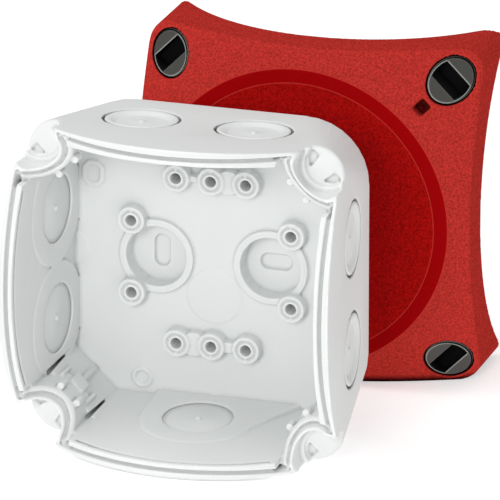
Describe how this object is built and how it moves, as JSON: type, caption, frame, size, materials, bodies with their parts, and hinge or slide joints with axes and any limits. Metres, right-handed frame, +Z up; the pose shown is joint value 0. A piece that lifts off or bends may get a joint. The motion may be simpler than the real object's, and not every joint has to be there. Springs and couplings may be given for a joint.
{
  "type": "junction box",
  "caption": "Square surface-mounted cable junction box for fire alarm wiring, shown open, with a sloped lift-off lid held by quarter-turn fasteners.",
  "frame": {"origin": "centre of the base's back face, in the wall plane", "axes": "+Y points out of the back, into the wall; the box opens towards -Y; +Z is up as the box stands on its bottom wall"},
  "size_m": [0.1154, 0.1318, 0.104],
  "materials": {
    "base_plastic": "satin moulded light grey",
    "membrane_elastomer": "soft light grey elastomer",
    "lid_plastic": "fine-grained red",
    "gasket_rubber": "matt black",
    "fastener_plastic": "satin dark grey"
  },
  "bodies": {
    "base": {"enclosure_base": "base_plastic", "membrane_top_left": "membrane_elastomer", "membrane_top_right": "membrane_elastomer", "membrane_left_upper": "membrane_elastomer", "membrane_left_lower": "membrane_elastomer", "membrane_right_upper": "membrane_elastomer", "membrane_right_lower": "membrane_elastomer", "membrane_bottom": "membrane_elastomer"},
    "lid": {"lid": "lid_plastic", "lid_gasket": "gasket_rubber"},
    "fastener_top_left": {"fastener_top_left": "fastener_plastic"},
    "fastener_top_right": {"fastener_top_right": "fastener_plastic"},
    "fastener_bottom_left": {"fastener_bottom_left": "fastener_plastic"},
    "fastener_bottom_right": {"fastener_bottom_right": "fastener_plastic"}
  },
  "joints": [
    {"name": "lid_lift", "type": "slide", "parent": "base", "child": "lid", "axis": [0, 0, 1], "range_m": [0, 0.12]},
    {"name": "fastener_top_left_turn", "type": "hinge", "parent": "lid", "child": "fastener_top_left", "pos_m": [-0.0304, 0.0472, 0.0454], "axis": [0, -1, 0], "range_deg": [-90, 0]},
    {"name": "fastener_top_right_turn", "type": "hinge", "parent": "lid", "child": "fastener_top_right", "pos_m": [0.0568, 0.0472, 0.0454], "axis": [0, -1, 0], "range_deg": [-90, 0]},
    {"name": "fastener_bottom_left_turn", "type": "hinge", "parent": "lid", "child": "fastener_bottom_left", "pos_m": [-0.0304, 0.0472, -0.0418], "axis": [0, -1, 0], "range_deg": [-90, 0]},
    {"name": "fastener_bottom_right_turn", "type": "hinge", "parent": "lid", "child": "fastener_bottom_right", "pos_m": [0.0568, 0.0472, -0.0418], "axis": [0, -1, 0], "range_deg": [-90, 0]}
  ]
}
